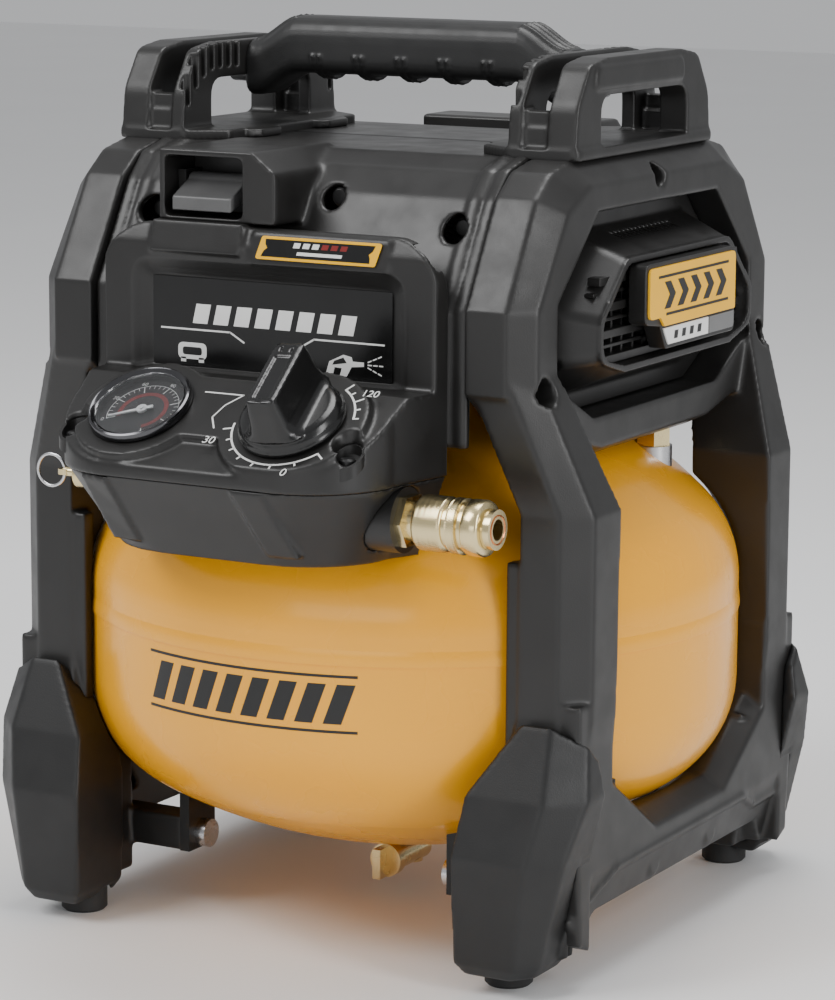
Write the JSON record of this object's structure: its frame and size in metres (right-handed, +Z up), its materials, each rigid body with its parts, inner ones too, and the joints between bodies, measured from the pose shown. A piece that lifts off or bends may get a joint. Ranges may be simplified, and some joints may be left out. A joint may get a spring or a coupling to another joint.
{
  "type": "pancake air compressor",
  "caption": "Portable battery air compressor: round tank slung in two moulded side frames under a cowled piston pump, with front panel, gauge, regulator and quick coupler.",
  "frame": {"origin": "on the floor, at the middle of the outer box, which is midway between the four feet and on the tank's axis", "axes": "+X to the object's right (coupler side), -Y to its front (control panel), +Z up"},
  "size_m": [0.3, 0.4015, 0.4035],
  "materials": {
    "tank_paint": "satin yellow-orange powder coat",
    "frame_plastic": "satin moulded, fine texture",
    "cowl_plastic": "satin moulded, fine texture",
    "boot_plastic": "matt over-moulding",
    "foot_rubber": "matt",
    "grip_rubber": "satin soft grip",
    "knob_plastic": "gloss",
    "switch_plastic": "satin grey",
    "label_film": "gloss film with white print",
    "badge_yellow": "gloss",
    "brass": "turned",
    "steel": "brushed",
    "zinc": "zinc plated",
    "black_screw": "black oxide",
    "dark_chrome": "polished",
    "cast_aluminium": "as cast",
    "lamination": "stacked laminations",
    "dial_face": "matt print",
    "needle_white": "matt",
    "lens": "clear",
    "board": "solder mask",
    "black_steel": "black"
  },
  "bodies": {
    "chassis": {"tank_upper_shell": "tank_paint", "tank_lower_shell": "tank_paint", "tank_ports": "steel", "tank_brackets": "black_steel", "tank_bolts": "zinc", "drain_valve_body": "brass", "right_side_frame": "frame_plastic", "left_side_frame": "frame_plastic", "front_right_boot": "boot_plastic", "rear_right_boot": "boot_plastic", "front_left_boot": "boot_plastic", "rear_left_boot": "boot_plastic", "rubber_feet": "foot_rubber", "frame_screws": "black_screw", "right_grille": "cowl_plastic", "left_grille": "cowl_plastic", "grille_badges": "badge_yellow", "front_cowl": "cowl_plastic", "rear_cowl": "cowl_plastic", "battery_receiver": "cowl_plastic", "battery_terminals": "black_steel", "controller_board": "board", "right_handle_arch": "frame_plastic", "left_handle_arch": "frame_plastic", "handle_bar": "steel", "handle_grip": "grip_rubber", "control_panel": "cowl_plastic", "panel_apron": "cowl_plastic", "label_plate": "label_film", "gauge_case": "black_steel", "gauge_bezel": "dark_chrome", "gauge_dial": "dial_face", "gauge_lens": "lens", "regulator_body": "cast_aluminium", "air_manifold": "cast_aluminium", "air_pipes": "brass", "coupler_collar": "cowl_plastic", "coupler_body": "brass", "safety_valve_body": "brass", "switch_body": "cowl_plastic", "crankcase": "cast_aluminium", "crank_bearings": "steel", "pump_cylinder": "cast_aluminium", "valve_plate": "steel", "cylinder_head": "cast_aluminium", "motor_stator": "lamination", "check_valve": "brass"},
    "regulator_dial": {"regulator_knob": "knob_plastic"},
    "gauge_pointer": {"gauge_needle": "needle_white"},
    "power_lever": {"switch_lever": "switch_plastic"},
    "release_sleeve": {"coupler_sleeve": "brass"},
    "relief_stem": {"safety_valve_stem": "brass"},
    "relief_ring": {"safety_pull_ring": "zinc"},
    "drain_screw": {"drain_valve_knob": "brass"},
    "crank": {"crankshaft": "steel", "motor_rotor": "lamination", "cooling_fan": "cowl_plastic"},
    "big_end": {"rod_big_end": "cast_aluminium"},
    "piston_assembly": {"piston": "cast_aluminium", "connecting_rod": "cast_aluminium"}
  },
  "joints": [
    {"name": "regulator_turn", "type": "hinge", "parent": "chassis", "child": "regulator_dial", "pos_m": [0.0375, -0.17, 0.246], "axis": [0, -0.5373, 0.8434], "range_deg": [-120, 150]},
    {"name": "gauge_sweep", "type": "hinge", "parent": "chassis", "child": "gauge_pointer", "pos_m": [-0.0375, -0.17, 0.246], "axis": [0, 0.5373, -0.8434], "range_deg": [0, 270], "stiffness_Nm_per_rad": 0.0002},
    {"name": "power_flip", "type": "hinge", "parent": "chassis", "child": "power_lever", "pos_m": [-0.0345, -0.11, 0.336], "axis": [-1, 0, 0], "range_deg": [0, 44]},
    {"name": "sleeve_pull", "type": "slide", "parent": "chassis", "child": "release_sleeve", "axis": [-1, 0, 0], "range_m": [0, 0.004], "stiffness_N_per_m": 1500},
    {"name": "relief_pull", "type": "slide", "parent": "chassis", "child": "relief_stem", "axis": [-1, 0, 0], "range_m": [0, 0.003], "stiffness_N_per_m": 1000},
    {"name": "ring_swing", "type": "hinge", "parent": "relief_stem", "child": "relief_ring", "pos_m": [-0.084, -0.16, 0.213], "axis": [0, 0, 1], "range_deg": [-70, 70]},
    {"name": "drain_turn", "type": "hinge", "parent": "chassis", "child": "drain_screw", "pos_m": [0, -0.02, 0.017], "axis": [0, -1, 0], "range_deg": [0, 340]},
    {"name": "crank_spin", "type": "hinge", "parent": "chassis", "child": "crank", "pos_m": [0, 0, 0.286], "axis": [1, 0, 0], "continuous": true},
    {"name": "big_end_turn", "type": "hinge", "parent": "crank", "child": "big_end", "pos_m": [0.036, 0.011, 0.286], "axis": [1, 0, 0], "continuous": true},
    {"name": "piston_stroke", "type": "slide", "parent": "chassis", "child": "piston_assembly", "axis": [0, -1, 0], "range_m": [0, 0.022]}
  ],
  "couplings": [
    {"joint": "big_end_turn", "follows": "crank_spin", "ratio": -1}
  ]
}
